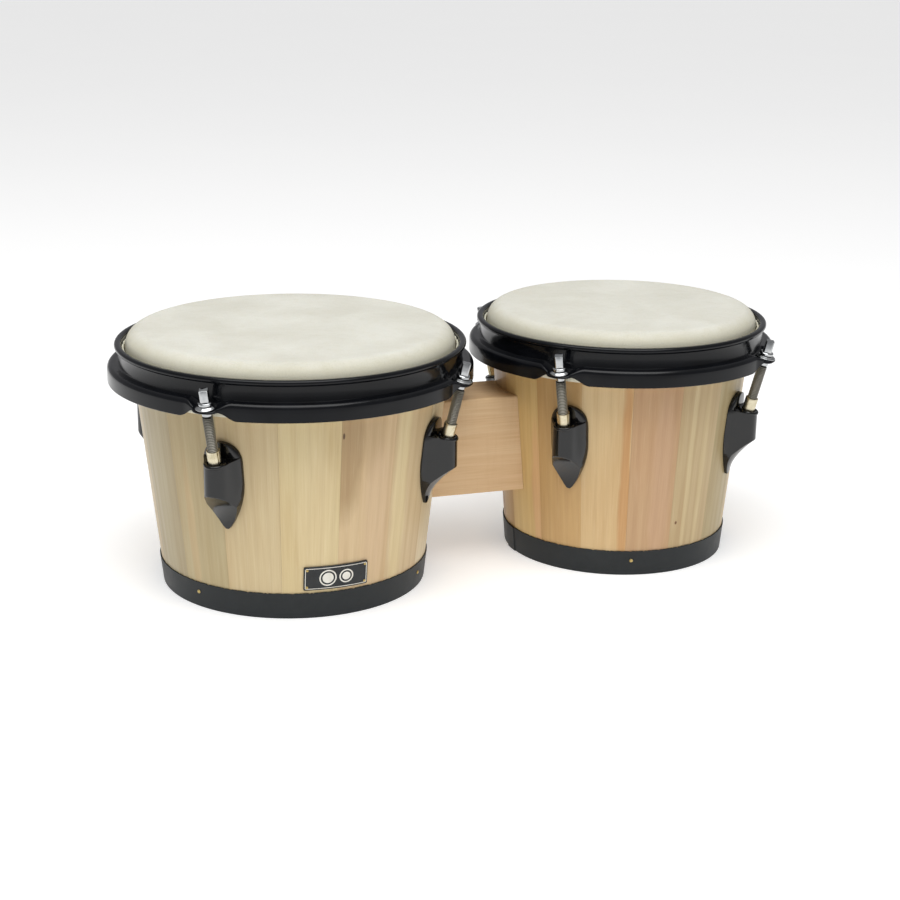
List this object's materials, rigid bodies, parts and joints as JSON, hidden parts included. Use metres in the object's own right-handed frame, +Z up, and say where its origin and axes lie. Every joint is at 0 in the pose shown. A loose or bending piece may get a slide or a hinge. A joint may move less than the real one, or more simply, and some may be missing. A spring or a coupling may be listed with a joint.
{
  "type": "bongo drums",
  "caption": "Pair of bongo drums: conical stave shells joined by a wooden block, with rawhide heads under black steel rims tightened by chrome rods.",
  "frame": {"origin": "on the floor under the middle of the pair: bottom centre of the whole bounding box", "axes": "+X from the larger drum (hembra) to the smaller drum (macho), +Z up, -Y is the front with the badge"},
  "size_m": [0.4116, 0.2152, 0.1532],
  "materials": {
    "shell_wood": "satin lacquer",
    "block_wood": "satin lacquer",
    "rawhide": "natural rawhide",
    "rim_black": "gloss black powder coat",
    "lug_black": "gloss black paint on a casting",
    "band_black": "satin black sheet steel",
    "chrome": "bright chrome",
    "nickel": "satin nickel",
    "bolt_zinc": "zinc plate",
    "hoop_steel": "plain steel wire",
    "badge_plate": "black enamel"
  },
  "bodies": {
    "root": {"hembra_shell": "shell_wood", "hembra_base_band": "band_black", "hembra_lug_1": "lug_black", "hembra_lug_nut_1": "nickel", "hembra_lug_bolt_1": "bolt_zinc", "hembra_lug_2": "lug_black", "hembra_lug_nut_2": "nickel", "hembra_lug_bolt_2": "bolt_zinc", "hembra_lug_3": "lug_black", "hembra_lug_nut_3": "nickel", "hembra_lug_bolt_3": "bolt_zinc", "hembra_lug_4": "lug_black", "hembra_lug_nut_4": "nickel", "hembra_lug_bolt_4": "bolt_zinc", "hembra_block_bolt_1": "bolt_zinc", "hembra_block_bolt_2": "bolt_zinc", "macho_shell": "shell_wood", "macho_base_band": "band_black", "macho_lug_1": "lug_black", "macho_lug_nut_1": "nickel", "macho_lug_bolt_1": "bolt_zinc", "macho_lug_2": "lug_black", "macho_lug_nut_2": "nickel", "macho_lug_bolt_2": "bolt_zinc", "macho_lug_3": "lug_black", "macho_lug_nut_3": "nickel", "macho_lug_bolt_3": "bolt_zinc", "macho_lug_4": "lug_black", "macho_lug_nut_4": "nickel", "macho_lug_bolt_4": "bolt_zinc", "macho_block_bolt_1": "bolt_zinc", "macho_block_bolt_2": "bolt_zinc", "centre_block": "block_wood", "badge": "badge_plate"},
    "hembra_head_assembly": {"hembra_rim": "rim_black", "hembra_head": "rawhide", "hembra_flesh_hoop": "hoop_steel"},
    "hembra_washer_1": {"hembra_rod_washer_1": "chrome"},
    "hembra_rod_1": {"hembra_tension_rod_1": "chrome"},
    "hembra_washer_2": {"hembra_rod_washer_2": "chrome"},
    "hembra_rod_2": {"hembra_tension_rod_2": "chrome"},
    "hembra_washer_3": {"hembra_rod_washer_3": "chrome"},
    "hembra_rod_3": {"hembra_tension_rod_3": "chrome"},
    "hembra_washer_4": {"hembra_rod_washer_4": "chrome"},
    "hembra_rod_4": {"hembra_tension_rod_4": "chrome"},
    "macho_head_assembly": {"macho_rim": "rim_black", "macho_head": "rawhide", "macho_flesh_hoop": "hoop_steel"},
    "macho_washer_1": {"macho_rod_washer_1": "chrome"},
    "macho_rod_1": {"macho_tension_rod_1": "chrome"},
    "macho_washer_2": {"macho_rod_washer_2": "chrome"},
    "macho_rod_2": {"macho_tension_rod_2": "chrome"},
    "macho_washer_3": {"macho_rod_washer_3": "chrome"},
    "macho_rod_3": {"macho_tension_rod_3": "chrome"},
    "macho_washer_4": {"macho_rod_washer_4": "chrome"},
    "macho_rod_4": {"macho_tension_rod_4": "chrome"}
  },
  "joints": [
    {"name": "hembra_rim_slide", "type": "slide", "parent": "root", "child": "hembra_head_assembly", "axis": [0, 0, 1], "range_m": [0, 0.006]},
    {"name": "hembra_rod_slide_1", "type": "slide", "parent": "root", "child": "hembra_washer_1", "axis": [-0.1526, -0.1877, 0.9703], "range_m": [0, 0.0059]},
    {"name": "hembra_rod_turn_1", "type": "hinge", "parent": "hembra_washer_1", "child": "hembra_rod_1", "pos_m": [-0.1659, -0.08331, 0.1304], "axis": [-0.1526, -0.1877, 0.9703], "range_deg": [-1, 2100]},
    {"name": "hembra_rod_slide_2", "type": "slide", "parent": "root", "child": "hembra_washer_2", "axis": [0.1877, -0.1526, 0.9703], "range_m": [0, 0.0059]},
    {"name": "hembra_rod_turn_2", "type": "hinge", "parent": "hembra_washer_2", "child": "hembra_rod_2", "pos_m": [-0.01489, -0.0677, 0.1304], "axis": [0.1877, -0.1526, 0.9703], "range_deg": [-1, 2100]},
    {"name": "hembra_rod_slide_3", "type": "slide", "parent": "root", "child": "hembra_washer_3", "axis": [0.1526, 0.1877, 0.9703], "range_m": [0, 0.0059]},
    {"name": "hembra_rod_turn_3", "type": "hinge", "parent": "hembra_washer_3", "child": "hembra_rod_3", "pos_m": [-0.0305, 0.08331, 0.1304], "axis": [0.1526, 0.1877, 0.9703], "range_deg": [-1, 2100]},
    {"name": "hembra_rod_slide_4", "type": "slide", "parent": "root", "child": "hembra_washer_4", "axis": [-0.1877, 0.1526, 0.9703], "range_m": [0, 0.0059]},
    {"name": "hembra_rod_turn_4", "type": "hinge", "parent": "hembra_washer_4", "child": "hembra_rod_4", "pos_m": [-0.18151, 0.0677, 0.1304], "axis": [-0.1877, 0.1526, 0.9703], "range_deg": [-1, 2100]},
    {"name": "macho_rim_slide", "type": "slide", "parent": "root", "child": "macho_head_assembly", "axis": [0, 0, 1], "range_m": [0, 0.006]},
    {"name": "macho_rod_slide_1", "type": "slide", "parent": "root", "child": "macho_washer_1", "axis": [-0.1717, -0.1705, 0.9703], "range_m": [0, 0.0059]},
    {"name": "macho_rod_turn_1", "type": "hinge", "parent": "macho_washer_1", "child": "macho_rod_1", "pos_m": [0.04571, -0.06588, 0.1304], "axis": [-0.1717, -0.1705, 0.9703], "range_deg": [-1, 2100]},
    {"name": "macho_rod_slide_2", "type": "slide", "parent": "root", "child": "macho_washer_2", "axis": [0.1705, -0.1717, 0.9703], "range_m": [0, 0.0059]},
    {"name": "macho_rod_turn_2", "type": "hinge", "parent": "macho_washer_2", "child": "macho_rod_2", "pos_m": [0.17793, -0.06635, 0.1304], "axis": [0.1705, -0.1717, 0.9703], "range_deg": [-1, 2100]},
    {"name": "macho_rod_slide_3", "type": "slide", "parent": "root", "child": "macho_washer_3", "axis": [0.1717, 0.1705, 0.9703], "range_m": [0, 0.0059]},
    {"name": "macho_rod_turn_3", "type": "hinge", "parent": "macho_washer_3", "child": "macho_rod_3", "pos_m": [0.17839, 0.06588, 0.1304], "axis": [0.1717, 0.1705, 0.9703], "range_deg": [-1, 2100]},
    {"name": "macho_rod_slide_4", "type": "slide", "parent": "root", "child": "macho_washer_4", "axis": [-0.1705, 0.1717, 0.9703], "range_m": [0, 0.0059]},
    {"name": "macho_rod_turn_4", "type": "hinge", "parent": "macho_washer_4", "child": "macho_rod_4", "pos_m": [0.04617, 0.06635, 0.1304], "axis": [-0.1705, 0.1717, 0.9703], "range_deg": [-1, 2100]}
  ],
  "couplings": [
    {"joint": "hembra_rod_slide_1", "follows": "hembra_rim_slide", "ratio": 0.9703},
    {"joint": "hembra_rod_turn_1", "follows": "hembra_rim_slide", "rad_per_m": 6096.5},
    {"joint": "hembra_rod_slide_2", "follows": "hembra_rim_slide", "ratio": 0.9703},
    {"joint": "hembra_rod_turn_2", "follows": "hembra_rim_slide", "rad_per_m": 6096.5},
    {"joint": "hembra_rod_slide_3", "follows": "hembra_rim_slide", "ratio": 0.9703},
    {"joint": "hembra_rod_turn_3", "follows": "hembra_rim_slide", "rad_per_m": 6096.5},
    {"joint": "hembra_rod_slide_4", "follows": "hembra_rim_slide", "ratio": 0.9703},
    {"joint": "hembra_rod_turn_4", "follows": "hembra_rim_slide", "rad_per_m": 6096.5},
    {"joint": "macho_rod_slide_1", "follows": "macho_rim_slide", "ratio": 0.9703},
    {"joint": "macho_rod_turn_1", "follows": "macho_rim_slide", "rad_per_m": 6096.5},
    {"joint": "macho_rod_slide_2", "follows": "macho_rim_slide", "ratio": 0.9703},
    {"joint": "macho_rod_turn_2", "follows": "macho_rim_slide", "rad_per_m": 6096.5},
    {"joint": "macho_rod_slide_3", "follows": "macho_rim_slide", "ratio": 0.9703},
    {"joint": "macho_rod_turn_3", "follows": "macho_rim_slide", "rad_per_m": 6096.5},
    {"joint": "macho_rod_slide_4", "follows": "macho_rim_slide", "ratio": 0.9703},
    {"joint": "macho_rod_turn_4", "follows": "macho_rim_slide", "rad_per_m": 6096.5}
  ]
}
